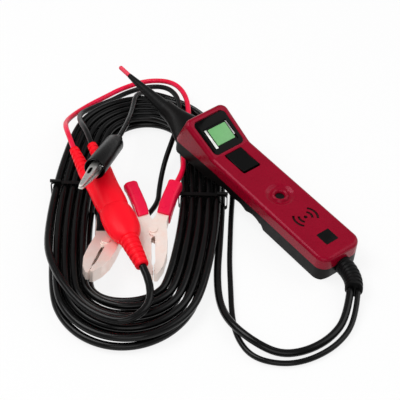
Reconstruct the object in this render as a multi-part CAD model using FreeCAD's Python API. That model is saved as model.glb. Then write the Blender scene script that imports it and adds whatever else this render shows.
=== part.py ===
"""Hand-held probe tester with its wound main lead, connector, battery clips and small ground clip (mm)."""
import FreeCAD, Part
import math
import os

V = FreeCAD.Vector
os.makedirs("parts", exist_ok=True)

# Tester sizes, in its own level frame: y runs from the tail to the probe tip, z up from the underside
PITCH = 7.0            # nose-up lean where the head rests on the coil, degrees
BODY_LONG = 166.0      # housing length at the seam
TAIL_HALF = 19.0       # half width at the tail
WAIST_HALF = 18.5      # half width at the neck
HEAD_HALF = 20.0       # half width of the head
SEAM_Z = 11.0          # height of the seam between the shells
TOP_Z = 21.5           # height of the grip's top face
WAIST_Y = 123.0        # where the display face starts to rise
HEAD_Y = 157.0         # front of the display face
HEAD_Z = 35.0          # height of the display face at the front
WALL = 2.2             # shell thickness
WAIST_ROUND = 8.0      # sweep from the grip's top into the display face
TOP_ROUND = 3.0        # rounding of the upper shell's edges
HEAD_ROUND = 6.0       # rounding of the head's front corners
PROBE_Z = 4.5          # height of the probe axis
SHEATH_Y = 198.0       # rear of the probe sheath
SHEATH_END = 246.0     # front of the probe sheath
TIP_Y = 259.0          # front of the tip cap
ROCKER_Y = 110.3
LED_Y = 68.1
SOUND_Y = 40.5
LABEL_Y = 15.5

# Cords and coil
MAIN_D = 5.5           # main lead
AUX_D = 4.0            # auxiliary ground lead
LEAD_D = 4.0           # red and black battery leads
COIL_X, COIL_Y = -74.0, 12.0
COIL_TURN = 47.7       # direction of the coil's long axis, degrees
COIL_A, COIL_B = 131.0, 62.0
COIL_PITCH = 6.2       # step from one turn to the next
COIL_Z1, COIL_Z2 = 3.75, 9.85

FACE_TILT = math.degrees(math.atan2(HEAD_Z - TOP_Z, HEAD_Y - WAIST_Y))


# Helpers
def box(x0, x1, y0, y1, z0, z1):
    return Part.makeBox(x1 - x0, y1 - y0, z1 - z0, V(x0, y0, z0))


def rod(r, p0, p1):
    p0, p1 = V(*p0), V(*p1)
    return Part.makeCylinder(r, (p1 - p0).Length, p0, p1 - p0)


def cone(r0, r1, p0, p1):
    p0, p1 = V(*p0), V(*p1)
    return Part.makeCone(r0, r1, (p1 - p0).Length, p0, p1 - p0)


def poly_face(points):
    return Part.Face(Part.makePolygon([V(*p) for p in points] + [V(*points[0])]))


def on_face(shape):
    """Move a piece drawn flat (x across, y up the face, z out of it) onto the tilted display face."""
    s = shape.copy()
    s.rotate(V(0, 0, 0), V(1, 0, 0), FACE_TILT)
    s.translate(V(0, WAIST_Y, TOP_Z))
    return s


def rounded(shape, radius, pick):
    """Round the edges that pick accepts."""
    edges = [e for e in shape.Edges if pick(e)]
    return shape.makeFillet(radius, edges) if edges else shape


def upright(edge):
    b = edge.BoundBox
    return b.ZLength > 0.5 and b.XLength < 0.01 and b.YLength < 0.01


# Housing blank: plan outline cut to the side profile, all faces set in by an amount
def blank(inset, low, front):
    i = inset
    plan = poly_face([(-TAIL_HALF + i, i, -10), (-WAIST_HALF + i, WAIST_Y, -10), (-HEAD_HALF + i, front - i, -10),
                      (HEAD_HALF - i, front - i, -10), (WAIST_HALF - i, WAIST_Y, -10), (TAIL_HALF - i, i, -10)])
    prism = plan.extrude(V(0, 0, 60))
    prism = rounded(prism, 9.0 - i, lambda e: upright(e) and e.BoundBox.YMin < 20)
    drop = i / math.cos(math.radians(FACE_TILT))
    side = poly_face([(-30, i - 1, low), (-30, -1, TOP_Z - i), (-30, WAIST_Y, TOP_Z - i),
                      (-30, HEAD_Y - i, HEAD_Z - drop - i * 0.4), (-30, front - i, low)])
    body = prism.common(side.extrude(V(60, 0, 0)))
    return rounded(body, HEAD_ROUND - i, lambda e: e.BoundBox.YMin > 140 and e.BoundBox.ZLength > 15)


def across_waist(edge):
    b = edge.BoundBox
    return b.YLength < 0.01 and abs(b.YMin - WAIST_Y) < 0.1 and b.XLength > 10


outer = blank(0.0, SEAM_Z, BODY_LONG)
outer = rounded(outer, WAIST_ROUND, across_waist)
outer = rounded(outer, TOP_ROUND, lambda e: e.BoundBox.ZMin > SEAM_Z + 8 and e.BoundBox.XLength < 2 * HEAD_HALF
                and not (e.BoundBox.YLength < 0.01 and abs(e.BoundBox.YMin - WAIST_Y) < 8))
upper = outer.cut(blank(WALL, SEAM_Z - 1, BODY_LONG))
upper = upper.fuse(rod(11.5, (0, LED_Y, 16.2), (0, LED_Y, TOP_Z - 1)))

# Openings in the upper shell: rocker, dished indicator, sound arcs, label recess, display
upper = upper.cut(rounded(box(-8.2, 8.2, ROCKER_Y - 11.6, ROCKER_Y + 11.6, 14, 30), 1.5, upright))
upper = upper.cut(Part.makeSphere(20.0, V(0, LED_Y, TOP_Z + 17.5)))
upper = upper.cut(rod(2.7, (0, LED_Y, 10), (0, LED_Y, 30)))
upper = upper.cut(rod(1.6, (0, SOUND_Y, 10), (0, SOUND_Y, 30)))
for radius in (5.5, 9.5):
    ring = rod(radius + 0.8, (0, SOUND_Y, 15), (0, SOUND_Y, 30)).cut(rod(radius - 0.8, (0, SOUND_Y, 14), (0, SOUND_Y, 31)))
    for side in (-1, 1):
        wedge = poly_face([(0, SOUND_Y, 15), (-14, SOUND_Y + side * 18, 15), (14, SOUND_Y + side * 18, 15)]).extrude(V(0, 0, 15))
        upper = upper.cut(ring.common(wedge))
upper = upper.cut(box(-7.2, 7.2, LABEL_Y - 7.2, LABEL_Y + 7.2, TOP_Z - 1.0, 30))
panel = rounded(poly_face([(-12.2, 3.5, -1.4), (12.2, 3.5, -1.4), (14, 32, -1.4), (-14, 32, -1.4)]).extrude(V(0, 0, 10)), 3.0, upright)
window = box(-8.7, 8.7, 11.0, 24.4, -12, 10)
upper = upper.cut(on_face(panel)).cut(on_face(window))

# Parts on the upper shell
bezel = rounded(poly_face([(-12.1, 3.6, -1.35), (12.1, 3.6, -1.35), (13.9, 31.9, -1.35), (-13.9, 31.9, -1.35)])
                .extrude(V(0, 0, 1.5)), 2.9, upright)
bezel = on_face(bezel.cut(box(-8.7, 8.7, 11.0, 24.4, -5, 5)))
lens = on_face(box(-8.6, 8.6, 11.1, 24.3, -1.35, -0.1))
lcd = on_face(box(-8.5, 8.5, 11.2, 24.2, -4.4, -1.6).fuse(box(-10.5, 10.5, 9.0, 27.0, -4.4, -2.9)))
label = box(-7.1, 7.1, LABEL_Y - 7.1, LABEL_Y + 7.1, TOP_Z - 0.95, TOP_Z + 0.1)
led = rod(2.6, (0, LED_Y, 12.8), (0, LED_Y, 18.4)).fuse(Part.makeSphere(2.6, V(0, LED_Y, 18.4)))
buzzer = rod(11.0, (0, SOUND_Y, 15.6), (0, SOUND_Y, 18.8)).cut(rod(2.0, (0, SOUND_Y, 17), (0, SOUND_Y, 20)))

# Rocker, its pin and the switch body on the board
rocker = poly_face([(-7.6, -10.3, 15.0), (-7.6, 10.3, 15.0), (-7.6, 10.3, 24.3), (-7.6, 0, 22.6), (-7.6, -10.3, 24.3)])
rocker = rocker.extrude(V(15.2, 0, 0))
rocker.translate(V(0, ROCKER_Y, 0))
rocker = rounded(rocker, 0.8, lambda e: e.BoundBox.ZMin > 20)
rocker = rocker.cut(box(-6.0, 6.0, ROCKER_Y - 8.5, ROCKER_Y + 8.5, 14, 15.8))
rocker = rocker.cut(rod(1.3, (-9, ROCKER_Y, 17.2), (9, ROCKER_Y, 17.2)))
rocker_pin = rod(1.0, (-9.6, ROCKER_Y, 17.2), (9.6, ROCKER_Y, 17.2))
switch = box(-9.6, 9.6, ROCKER_Y - 10.0, ROCKER_Y + 10.0, 11.2, 12.9)
for side in (-1, 1):
    cheek = box(-0.7, 0.7, ROCKER_Y - 4.0, ROCKER_Y + 4.0, 12.9, 18.9)
    cheek.translate(V(side * 8.9, 0, 0))
    switch = switch.fuse(cheek)
switch = switch.cut(rod(1.0, (-12, ROCKER_Y, 17.2), (12, ROCKER_Y, 17.2)))

# Lower shell with its finger scallops
lower_side = poly_face([(-30, -1, SEAM_Z), (-30, -1, 2.5), (-30, 2.5, 0), (-30, 62, 0), (-30, 65, 3.2), (-30, 118, 3.2),
                        (-30, 126, 0.2), (-30, 161, 0.2), (-30, BODY_LONG, 3.0), (-30, BODY_LONG, SEAM_Z)])
lower_plan = poly_face([(-TAIL_HALF, 0, -1), (-WAIST_HALF, WAIST_Y, -1), (-HEAD_HALF, BODY_LONG, -1),
                        (HEAD_HALF, BODY_LONG, -1), (WAIST_HALF, WAIST_Y, -1), (TAIL_HALF, 0, -1)]).extrude(V(0, 0, SEAM_Z + 1))
lower_plan = rounded(lower_plan, 9.0, lambda e: upright(e) and e.BoundBox.YMin < 20)
lower_plan = rounded(lower_plan, 6.0, lambda e: upright(e) and e.BoundBox.YMin > 140)
lower = lower_plan.common(lower_side.extrude(V(60, 0, 0)))
for y in (74.0, 90.0, 106.0):
    lower = lower.cut(rod(14.0, (-30, y, -8.9), (30, y, -8.9)))
cavity = poly_face([(-TAIL_HALF + WALL, WALL, 7.4), (-WAIST_HALF + WALL, WAIST_Y, 7.4), (-HEAD_HALF + WALL, BODY_LONG - WALL, 7.4),
                    (HEAD_HALF - WALL, BODY_LONG - WALL, 7.4), (WAIST_HALF - WALL, WAIST_Y, 7.4), (TAIL_HALF - WALL, WALL, 7.4)])
cavity = rounded(cavity.extrude(V(0, 0, 8)), 5.0, upright)
lower = lower.cut(cavity).cut(box(-15, 15, 8, 59, 2.4, 9)).cut(box(-15, 15, 128, 160, 2.6, 9))
screw_spots = [(-13.2, 63.0), (13.2, 63.0), (-13.2, 122.0), (13.2, 122.0)]
screws = None
for x, y in screw_spots:
    lower = lower.cut(rod(2.6, (x, y, -1), (x, y, 4.6))).cut(rod(1.2, (x, y, 4), (x, y, 8)))
    screw = rod(2.4, (x, y, 3.5), (x, y, 4.6)).fuse(rod(1.1, (x, y, 4.6), (x, y, 8.6)))
    screw = screw.cut(box(x - 1.8, x + 1.8, y - 0.35, y + 0.35, 3, 3.9))
    screws = screw if screws is None else Part.makeCompound([screws, screw])
lower = lower.cut(rod(6.0, (0, -5, 9.0), (0, 12, 9.0))).cut(rod(3.4, (0, 150, PROBE_Z), (0, 170, PROBE_Z)))
upper = upper.cut(rod(6.0, (0, -5, 9.0), (0, 12, 9.0)))

# Inner parts
board = box(-12.5, 12.5, 22, 150, 9.4, 11.0)
breaker = box(-7, 7, 24, 50, 2.6, 9.2)
socket_tube = rod(3.3, (0, 150.5, PROBE_Z), (0, 197.5, PROBE_Z)).cut(rod(2.05, (0, 158, PROBE_Z), (0, 200, PROBE_Z)))

# Nose, probe sheath, needle and tip cap
def ellipse_wire(y, z, rx, rz):
    big, small = max(rx, rz), min(rx, rz)
    axis = V(1, 0, 0) if rx >= rz else V(0, 0, 1)
    e = Part.Ellipse(V(0, y, z), big, small)
    shape = Part.Wire([e.toShape()])
    shape.rotate(V(0, y, z), V(1, 0, 0), 90)
    if axis.z:
        shape.rotate(V(0, y, z), V(0, 1, 0), 90)
    return shape


nose = Part.makeLoft([ellipse_wire(BODY_LONG, 5.4, 17.0, 5.5), ellipse_wire(176, 5.2, 13.0, 6.4),
                      ellipse_wire(187, 4.8, 8.6, 7.2), ellipse_wire(SHEATH_Y, PROBE_Z, 7.01, 7.0)], True)
nose = nose.cut(rod(3.3, (0, 150, PROBE_Z), (0, 199, PROBE_Z)))
sheath = cone(5.6, 1.9, (0, SHEATH_Y + 2.2, PROBE_Z), (0, SHEATH_END, PROBE_Z))
sheath = sheath.fuse(rod(6.6, (0, SHEATH_Y, PROBE_Z), (0, SHEATH_Y + 2.2, PROBE_Z)))
sheath = sheath.cut(rod(1.05, (0, 190, PROBE_Z), (0, 250, PROBE_Z)))
needle = rod(2.0, (0, 170, PROBE_Z), (0, 197.4, PROBE_Z)).fuse(rod(1.0, (0, 196, PROBE_Z), (0, 252, PROBE_Z)))
needle = needle.fuse(cone(1.0, 0.25, (0, 252, PROBE_Z), (0, 255.5, PROBE_Z)))
CAP_R, CAP_BORE, CAP_ROOT, CAP_FLOOR = 1.75, 1.3, SHEATH_END + 0.3, 256.4
cap_line = Part.makePolygon([V(0, TIP_Y, PROBE_Z), V(0, CAP_FLOOR, PROBE_Z), V(CAP_BORE, CAP_FLOOR, PROBE_Z),
                             V(CAP_BORE, CAP_ROOT, PROBE_Z), V(CAP_R, CAP_ROOT, PROBE_Z),
                             V(CAP_R, TIP_Y - CAP_R, PROBE_Z)])
cap_round = Part.Arc(V(CAP_R, TIP_Y - CAP_R, PROBE_Z),
                     V(CAP_R * math.sqrt(0.5), TIP_Y - CAP_R * (1 - math.sqrt(0.5)), PROBE_Z),
                     V(0, TIP_Y, PROBE_Z)).toShape()
cap = Part.Face(Part.Wire(cap_line.Edges + [cap_round])).revolve(V(0, 0, PROBE_Z), V(0, 1, 0), 360)

tester = {"upper_housing": upper, "lower_housing": lower, "housing_screws": screws, "display_bezel": bezel,
          "display_lens": lens, "lcd_module": lcd, "circuit_board": board, "rocker_cap": rocker,
          "rocker_pin": rocker_pin, "switch_body": switch, "indicator_lens": led, "buzzer": buzzer,
          "label_plate": label, "circuit_breaker": breaker, "probe_socket": socket_tube, "probe_nose": nose,
          "probe_sheath": sheath, "probe_needle": needle, "tip_cap": cap}

# Lean the tester nose up and put the middle of its lower face on the origin
for shape in tester.values():
    shape.rotate(V(0, 0, 0), V(1, 0, 0), PITCH)
bounds = Part.makeCompound(list(tester.values())).optimalBoundingBox(False, False)
SHIFT = V(0, -(bounds.YMin + bounds.YMax) / 2, -bounds.ZMin)
for shape in tester.values():
    shape.translate(SHIFT)


def seat(x, y, z):
    """A point of the level tester frame, in the shared frame."""
    p = FreeCAD.Rotation(V(1, 0, 0), PITCH).multVec(V(x, y, z))
    return p + SHIFT


solids = dict(tester)
print("tester shift", [round(c, 3) for c in SHIFT], "rocker axis", seat(0, ROCKER_Y, 17.2), "tip", seat(0, TIP_Y, PROBE_Z))


# Cords: straight runs joined by tangent arcs
def arc_by_corner(a, corner, b):
    """Arc from a to b whose end tangents meet at the corner."""
    mid = (a + b) * 0.5
    half, tangent = (b - a).Length / 2, (corner - a).Length
    rise = corner - mid
    if rise.Length < 1e-4:
        return Part.LineSegment(a, b).toShape(), 1e9
    radius = half * tangent / rise.Length
    top = mid + rise * (radius * (1 - half / tangent) / rise.Length)
    return Part.Arc(a, top, b).toShape(), radius


def route(points):
    pts = [V(*p) for p in points]
    edges, radii, here = [], [], pts[0]
    for before, corner, after in zip(pts, pts[1:], pts[2:]):
        cut = 0.45 * min((corner - before).Length, (after - corner).Length)
        a = corner + (before - corner).normalize() * cut
        b = corner + (after - corner).normalize() * cut
        arc, radius = arc_by_corner(a, corner, b)
        edges += [Part.LineSegment(here, a).toShape(), arc]
        radii.append(radius)
        here = b
    edges.append(Part.LineSegment(here, pts[-1]).toShape())
    return edges, min(radii)


def sweep(edges, start, heading, diameter):
    ring = Part.Wire([Part.Circle(start, heading, diameter / 2).toShape()])
    return Part.Wire(edges).makePipeShell([ring], True, False)


def cord(name, points, diameter):
    edges, tightest = route(points)
    tube = sweep(edges, V(*points[0]), V(*points[1]) - V(*points[0]), diameter)
    long = sum(e.Length for e in edges)
    expected = math.pi * diameter ** 2 / 4 * long
    print(name, "length %.0f tightest radius %.1f volume ratio %.4f" % (long, tightest, tube.Volume / expected))
    return tube


# Strain relief: ribs on a bend from the tail towards the floor
BOOT_P0, BOOT_P1 = seat(0, -0.3, 9.0), V(-11.0, -152.0, 7.4)
BOOT_T0 = V(0, -0.9925, -0.122)


def boot_at(t):
    """Point and heading on the strain relief's arc, t from 0 to 1."""
    chord = BOOT_P1 - BOOT_P0
    axis = BOOT_T0.cross(chord).normalize()
    side = axis.cross(BOOT_T0).normalize()
    turn = 2 * math.atan2(chord.dot(side), chord.dot(BOOT_T0))
    radius = chord.Length / (2 * math.sin(turn / 2))
    angle = turn * t
    point = BOOT_P0 + BOOT_T0 * (radius * math.sin(angle)) + side * (radius * (1 - math.cos(angle)))
    heading = BOOT_T0 * math.cos(angle) + side * math.sin(angle)
    return point, heading


rings = []
for k in range(8):
    groove, rib = 6.2 - 0.1 * k, 6.9 - 0.08 * k
    for part, r in ((0.0, groove), (0.18, rib), (0.6, rib), (0.78, groove)):
        point, heading = boot_at((k + part) / 8.0)
        rings.append(Part.Wire([Part.Circle(point, heading, r).toShape()]))
point, BOOT_OUT = boot_at(1.0)
rings.append(Part.Wire([Part.Circle(point, BOOT_OUT, 6.3).toShape()]))
relief = Part.makeLoft(rings, True, True)
solids["strain_relief"] = relief.fuse(rod(5.9, tuple(BOOT_P0), tuple(seat(0, 6.0, 9.0))))

MAIN_FRONT = [(-12.5, -150.3, 7.2), (-30.0, -165.5, 3.6), (-51.0, -172.5, 2.75), (-72.0, -171.0, 2.75), (-88.0, -162.0, 2.75),
              (-97.0, -146.0, 7.6), (-98.0, -122.0, 7.6), (-89.0, -100.0, 3.2), (-72.0, -77.0, 3.2), (-48.3, -51.9, 3.75),
              (-28.143, -29.727, 3.75)]
MAIN_REAR = [(-119.857, 53.727, 9.85), (-142.9, 28.4, 10.6), (-160.0, 2.0, 16.0), (-169.0, -31.0, 16.0), (-170.0, -60.0, 16.0),
             (-158.0, -87.0, 17.5), (-128.0, -81.6, 20.6), (-119.0, -53.0, 23.0)]
AUX = [(-9.0, -154.2, 6.8), (-27.0, -171.0, 3.2), (-50.0, -179.5, 2.2), (-74.0, -178.5, 2.2), (-92.0, -170.0, 2.2),
       (-104.0, -152.0, 2.2), (-100.0, -131.0, 2.2), (-88.0, -112.0, 2.2), (-72.0, -92.0, 2.2), (-56.0, -72.0, 2.2),
       (-40.5, -54.5, 2.3), (-24.0, -36.0, 2.2), (-6.5, -17.5, 2.3), (17.5, 11.5, 2.2), (33.5, 42.0, 2.3), (40.0, 75.0, 2.2),
       (35.0, 101.0, 2.3), (23.0, 119.0, 5.0), (5.0, 116.0, 15.0), (-14.0, 95.0, 20.0), (-36.0, 73.5, 29.5), (-56.0, 57.0, 36.0)]
RED = [(-87.7, 69.85, 33.1), (-82.0, 88.0, 33.0), (-75.0, 105.0, 21.0), (-66.0, 121.0, 9.0), (-43.0, 136.0, 2.2), (-13.0, 141.0, 2.2),
       (9.0, 142.0, 2.2), (30.0, 135.0, 5.0), (40.0, 113.0, 12.0), (35.0, 89.0, 15.2), (19.0, 65.0, 15.2), (-2.0, 46.0, 15.0),
       (-18.0, 27.0, 15.0), (-32.4, 9.6, 20.6), (-46.65, 0.99, 21.93)]
BLACK = [(-74.35, 65.65, 33.1), (-69.0, 83.0, 33.0), (-61.0, 102.0, 22.0), (-57.0, 122.0, 10.0), (-37.0, 130.5, 2.2), (-10.0, 134.0, 2.2),
         (9.0, 135.0, 2.2), (25.0, 127.5, 5.5), (32.5, 109.0, 12.0), (27.0, 88.0, 15.2), (11.0, 67.0, 15.2), (-9.0, 51.0, 15.0),
         (-27.0, 39.0, 9.0), (-43.0, 25.0, 2.5), (-59.6, 5.8, 5.2), (-75.65, 1.01, 6.01)]
solids["main_lead_front"] = cord("main_lead_front", MAIN_FRONT, MAIN_D)
solids["main_lead_rear"] = cord("main_lead_rear", MAIN_REAR, MAIN_D)
solids["aux_lead"] = cord("aux_lead", AUX, AUX_D)
solids["red_lead"] = cord("red_lead", RED, LEAD_D)
solids["black_lead"] = cord("black_lead", BLACK, LEAD_D)

# Coil: two layers of four and a half turns, spiralling in, climbing and spiralling out again
LONG_AXIS = V(math.cos(math.radians(COIL_TURN)), math.sin(math.radians(COIL_TURN)), 0)
WIDE_AXIS = V(LONG_AXIS.y, -LONG_AXIS.x, 0)
INSET_MAX = 4.5 * COIL_PITCH


def coil_station(k):
    """Point and heading at quarter turn k, starting on the side next to the tester."""
    if k <= 18:
        inset, z, pull = COIL_PITCH * k / 4, COIL_Z1, 0.0115
    elif k == 19:
        inset, z, pull = INSET_MAX + COIL_PITCH / 4, (COIL_Z1 + COIL_Z2) / 2, 0.0
    else:
        inset, z, pull = INSET_MAX - COIL_PITCH * (k - 20) / 4, COIL_Z2, -0.0115
    climb = 0.04 if k == 19 else 0.0
    quarter = k % 4
    if quarter == 0:
        out, along, size = WIDE_AXIS, LONG_AXIS, COIL_B - inset
    elif quarter == 1:
        out, along, size = LONG_AXIS, WIDE_AXIS * -1, COIL_A - inset
    elif quarter == 2:
        out, along, size = WIDE_AXIS * -1, LONG_AXIS * -1, COIL_B - inset
    else:
        out, along, size = LONG_AXIS * -1, WIDE_AXIS, COIL_A + 4 - 1.15 * inset
    if k in (0, 38):
        pull = 0.0
    heading = (along - out * pull + V(0, 0, climb)).normalize()
    return V(COIL_X, COIL_Y, z) + out * size, heading


def biarc(p0, t0, p1, t1, ratio):
    """Two tangent arcs between two points with given headings; ratio compares the two tangent lengths."""
    v = p1 - p0
    a = 2 * ratio * (t0.dot(t1) - 1)
    b = -2 * v.dot(t0 * ratio + t1)
    d1 = (-b - math.sqrt(b * b - 4 * a * v.dot(v))) / (2 * a)
    d0 = ratio * d1
    c0, c1 = p0 + t0 * d0, p1 - t1 * d1
    joint = (c0 * d1 + c1 * d0) * (1 / (d0 + d1))
    first, r0 = arc_by_corner(p0, c0, joint)
    second, r1 = arc_by_corner(joint, c1, p1)
    return [first, second], min(r0, r1)


# The turns keep the same arc centres, so they lie side by side all round
END_R = 0.9 * COIL_B
SIDE_R = (COIL_A ** 2 + COIL_B ** 2 - 2 * COIL_A * END_R) / (2 * (COIL_B - END_R))
END_SWEEP = math.atan2(SIDE_R - COIL_B, COIL_A - END_R)
END_REACH = math.tan(END_SWEEP / 2)
SIDE_REACH = math.tan((math.pi / 2 - END_SWEEP) / 2)
coil_edges, coil_radii = [], []
for k in range(38):
    p0, t0 = coil_station(k)
    p1, t1 = coil_station(k + 1)
    inset = COIL_PITCH * (k + 0.5) / 4 if k < 19 else COIL_PITCH * (37.5 - k) / 4
    end_to_side = END_REACH * (END_R - inset) / (SIDE_REACH * (SIDE_R - inset))
    arcs, radius = biarc(p0, t0, p1, t1, 1 / end_to_side if k % 2 == 0 else end_to_side)
    coil_edges += arcs
    coil_radii.append(radius)
coil_start, coil_heading = coil_station(0)
solids["main_lead_coil"] = sweep(coil_edges, coil_start, coil_heading, MAIN_D)
coil_long = sum(e.Length for e in coil_edges)
spots = [e.valueAt(e.FirstParameter + (e.LastParameter - e.FirstParameter) * i / 12) for e in coil_edges for i in range(12)]
nearest = min((spots[i] - spots[j]).Length for i in range(len(spots)) for j in range(i + 40, len(spots)))
print("coil length %.0f tightest radius %.1f least gap to itself %.2f volume ratio %.4f" % (
    coil_long, min(coil_radii), nearest - MAIN_D,
    solids["main_lead_coil"].Volume / (math.pi * MAIN_D ** 2 / 4 * coil_long)))
print("coil ends", coil_station(0), coil_station(38))


# Place a piece drawn along its own x axis: x to the heading, z as near up as it can be
def place(shape, origin, heading):
    x = V(*heading).normalize()
    y = V(0, 0, 1).cross(x).normalize()
    z = x.cross(y)
    frame = FreeCAD.Matrix(x.x, y.x, z.x, origin[0], x.y, y.y, z.y, origin[1], x.z, y.z, z.z, origin[2], 0, 0, 0, 1)
    out = shape.copy()
    out.Placement = FreeCAD.Placement(frame).multiply(out.Placement)
    return out


def oval(x, ry, rz, y=0.0, z=0.0):
    """Upright oval section at x."""
    curve = Part.Ellipse(V(0, 0, 0), ry, rz) if ry > rz else Part.Circle(V(0, 0, 0), V(0, 0, 1), ry)
    wire = Part.Wire([curve.toShape()])
    wire.Placement = FreeCAD.Placement(FreeCAD.Matrix(0, 0, 1, x, 1, 0, 0, y, 0, 1, 0, z, 0, 0, 0, 1))
    return wire


def ribbed(x0, x1, r0, r1, count, depth, y=0.0):
    """Tapered neck with rounded-off ribs, along x."""
    rings = []
    for i in range(count):
        for part, low in ((0.0, depth), (0.2, 0.0), (0.6, 0.0), (0.8, depth)):
            t = (i + part) / count
            r = r0 + (r1 - r0) * t - low
            rings.append(oval(x0 + (x1 - x0) * t, r, r, y))
    rings.append(oval(x1, r1, r1, y))
    return Part.makeLoft(rings, True, True)


# Red connector: plug on the main lead, socket with the two battery leads
CONNECTOR_AT, CONNECTOR_HEADING = (-119.0, -53.0, 23.0), (0.3, 0.954, 0.08)
plug = Part.makeLoft([oval(27, 7.2, 6.8), oval(34, 11.2, 8.0), oval(44, 12.6, 8.5), oval(52, 12.3, 8.4), oval(58, 11.0, 8.0)], True)
plug = plug.fuse(ribbed(0, 27.5, 4.8, 7.1, 6, 0.9))
socket = Part.makeLoft([oval(58.2, 11.0, 8.0), oval(66, 11.8, 8.3), oval(78, 11.6, 8.2), oval(92, 12.0, 7.6), oval(103, 12.3, 6.2)], True)
for side in (-1, 1):
    socket = socket.fuse(ribbed(100, 127, 5.4, 3.6, 6, 0.8, side * 7.0))
pins = []
for side in (-1, 1):
    bore = rod(2.05, (44, side * 5, 0), (74, side * 5, 0))
    plug, socket = plug.cut(bore), socket.cut(bore)
    pins.append(rod(2.0, (46, side * 5, 0), (72, side * 5, 0)))
solids["connector_plug"] = place(plug, CONNECTOR_AT, CONNECTOR_HEADING)
solids["connector_socket"] = place(socket, CONNECTOR_AT, CONNECTOR_HEADING)
solids["connector_pins"] = place(Part.makeCompound(pins), CONNECTOR_AT, CONNECTOR_HEADING)

# Battery clips: two folded halves on a rivet, jaws along +x, the moving half on -y
HALF_SPREAD = 20.0     # angle between a handle and the clip's axis
SQUEEZE = 15.0         # how far a clip's moving half turns
SLEEVE_GAP = 0.4       # room from a sleeve to the middle when squeezed
JAW_LONG = 40.0
HANDLE_LONG = 46.0


def clip_half(half_width):
    """Folded half with its web outside, open towards the other half; drawn on +y."""
    c, s = math.cos(math.radians(HALF_SPREAD)), math.sin(math.radians(HALF_SPREAD))
    end = (-HANDLE_LONG * c, HANDLE_LONG * s)
    outline = [(JAW_LONG, 0.25, 0), (JAW_LONG, 2.6, 0), (33, 6.8, 0), (22, 9.6, 0), (8, 10.2, 0), (-6, 9.6, 0),
               (end[0] + 3.4 * s, end[1] + 3.4 * c, 0), (end[0] - 3.4 * s, end[1] - 3.4 * c, 0),
               (-12, 1.6, 0), (-5, -3.0, 0), (3.5, -3.0, 0), (7, 1.4, 0), (30, 1.4, 0), (32, 0.25, 0)]
    body = poly_face([(x, y, -half_width) for x, y, _ in outline]).extrude(V(0, 0, 2 * half_width))
    hollow = [(JAW_LONG - 5, -9, 0), (JAW_LONG - 5, 3.6, 0), (32, 5.8, 0), (22, 8.5, 0), (8, 9.1, 0), (-6, 8.5, 0),
              (end[0] - 3 * c + 2.3 * s, end[1] + 3 * s + 2.3 * c, 0), (end[0] - 3 * c - 8 * s, end[1] + 3 * s - 8 * c, 0), (-12, -9, 0)]
    inner = half_width - 1.0
    body = body.cut(poly_face([(x, y, -inner) for x, y, _ in hollow]).extrude(V(0, 0, 2 * inner)))
    for i in range(3):
        notch = poly_face([(33.6 + 2.2 * i, 0, -9), (34.7 + 2.2 * i, 1.1, -9), (35.8 + 2.2 * i, 0, -9)]).extrude(V(0, 0, 18))
        body = body.cut(notch)
    return body.cut(rod(2.0, (0, 0, -9), (0, 0, 9)))


def clip_grip(half_width):
    """Soft sleeve over a handle, drawn on +y."""
    sleeve = box(-HANDLE_LONG - 2.0, -15, -5.0, 5.0, -half_width, half_width)
    sleeve = rounded(sleeve, 2.8, lambda e: e.BoundBox.XLength > 5)
    sleeve = rounded(sleeve, 1.6, lambda e: e.BoundBox.XMax < -HANDLE_LONG - 1.9 and e.BoundBox.XLength < 0.01)
    # The inner face tapers towards the rivet, so the sleeves stay apart when the clip is squeezed
    closed = math.radians(HALF_SPREAD - SQUEEZE / 2)
    near, far = 10.0, 27.0
    taper = [(-d, (SLEEVE_GAP - d * math.sin(closed)) / math.cos(closed)) for d in (near, far)]
    taper += [(-far, -9.0), (-near, -9.0)]
    sleeve = sleeve.cut(poly_face([(x, y, -9) for x, y in taper]).extrude(V(0, 0, 18)))
    sleeve.rotate(V(0, 0, 0), V(0, 0, 1), -HALF_SPREAD)
    return sleeve


def mirror_y(shape):
    return shape.mirror(V(0, 0, 0), V(0, 1, 0))


fixed_half = clip_half(4.4)
moving_half = mirror_y(clip_half(3.1))
fixed_grip = clip_grip(5.2).cut(fixed_half)
moving_grip = mirror_y(clip_grip(4.2)).cut(moving_half)
rivet = rod(1.8, (0, 0, -4.6), (0, 0, 4.6)).fuse(rod(3.2, (0, 0, 4.5), (0, 0, 5.4))).fuse(rod(3.2, (0, 0, -5.4), (0, 0, -4.5)))
spring_path = Part.makeHelix(1.5, 2.7, 2.8)
spring_ring = Part.Wire([Part.Circle(V(2.8, 0, 0), V(0, 1, 0.085), 0.5).toShape()])
spring = Part.Wire(spring_path.Edges).makePipeShell([spring_ring], True, True)
spring.translate(V(0, 0, -1.35))

CLIPS = {"red": ((-87.0, -24.0, 14.8), (-0.616, -0.788, -0.16)), "black": ((-121.0, -12.5, 14.0), (-0.8, -0.6, 0.18))}
for colour, (pivot, heading) in CLIPS.items():
    for piece, shape in (("arm_fixed", fixed_half), ("arm_moving", moving_half), ("grip_fixed", fixed_grip),
                         ("grip_moving", moving_grip), ("rivet", rivet), ("spring", spring)):
        solids[colour + "_clip_" + piece] = place(shape, pivot, heading)
    x = V(*heading).normalize()
    y = V(0, 0, 1).cross(x).normalize()
    print(colour, "clip hinge", pivot, "axis", x.cross(y))

# Small ground clip: two jaws on a pin, its handles inside a soft boot, drawn along x from the lead to the tip
GATOR_AT, GATOR_HEADING = (-56.0, 57.0, 36.0), (-0.79, -0.56, 0.25)
PIN_X = 50.0


def jaw(outline, half, wall):
    body = poly_face([(x, -half, z) for x, z in outline]).extrude(V(0, 2 * half, 0))
    body = body.cut(box(20, 100, -half + wall, half - wall, -3.7, 3.7))
    return body.cut(rod(1.3, (PIN_X, -9, 0), (PIN_X, 9, 0)))


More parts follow.
